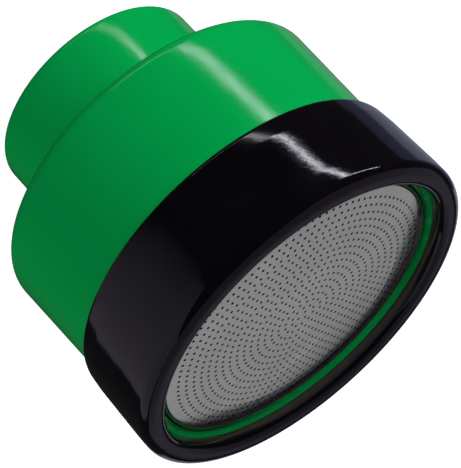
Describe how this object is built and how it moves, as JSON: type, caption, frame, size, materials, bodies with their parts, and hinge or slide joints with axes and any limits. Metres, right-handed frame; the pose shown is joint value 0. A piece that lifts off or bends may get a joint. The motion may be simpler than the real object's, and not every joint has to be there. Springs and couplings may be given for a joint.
{
  "type": "watering rose",
  "caption": "Watering rose for a garden hose: drum-shaped spray head with a finely perforated steel face, a rubber bumper round the rim and a threaded inlet in a narrow collar.",
  "frame": {"origin": "centre of the inlet's mouth, at the flat rear end of the collar", "axes": "+Z along the rose from the inlet to the perforated face; X and Y square to it"},
  "size_m": [0.0776, 0.0776, 0.0693],
  "materials": {
    "green_plastic": "moulded gloss",
    "black_rubber": "smooth moulded rubber",
    "stainless": "satin",
    "seal_rubber": "matt",
    "washer_rubber": "matt",
    "grey_plastic": "moulded",
    "screw_steel": "bright",
    "rim_brass": "pressed"
  },
  "bodies": {
    "shell": {"body_shell": "green_plastic", "diffuser_disc": "grey_plastic", "diffuser_screws": "screw_steel"},
    "bumper": {"bumper_ring": "black_rubber"},
    "ring": {"face_ring": "green_plastic"},
    "plate": {"rose_plate": "stainless", "plate_gasket": "seal_rubber"},
    "washer": {"hose_washer": "washer_rubber", "strainer_rim": "rim_brass", "inlet_gauze": "stainless"}
  },
  "joints": [
    {"name": "bumper_pull", "type": "slide", "parent": "shell", "child": "bumper", "axis": [0, 0, 1], "range_m": [0, 0.06]},
    {"name": "ring_lift", "type": "slide", "parent": "shell", "child": "ring", "axis": [0, 0, 1], "range_m": [0, 0.042]},
    {"name": "plate_lift", "type": "slide", "parent": "shell", "child": "plate", "axis": [0, 0, 1], "range_m": [0, 0.024]},
    {"name": "washer_drop", "type": "slide", "parent": "shell", "child": "washer", "axis": [0, 0, -1], "range_m": [0, 0.024]}
  ],
  "couplings": [
    {"joint": "ring_lift", "follows": "bumper_pull", "ratio": 0.7},
    {"joint": "plate_lift", "follows": "bumper_pull", "ratio": 0.4}
  ]
}
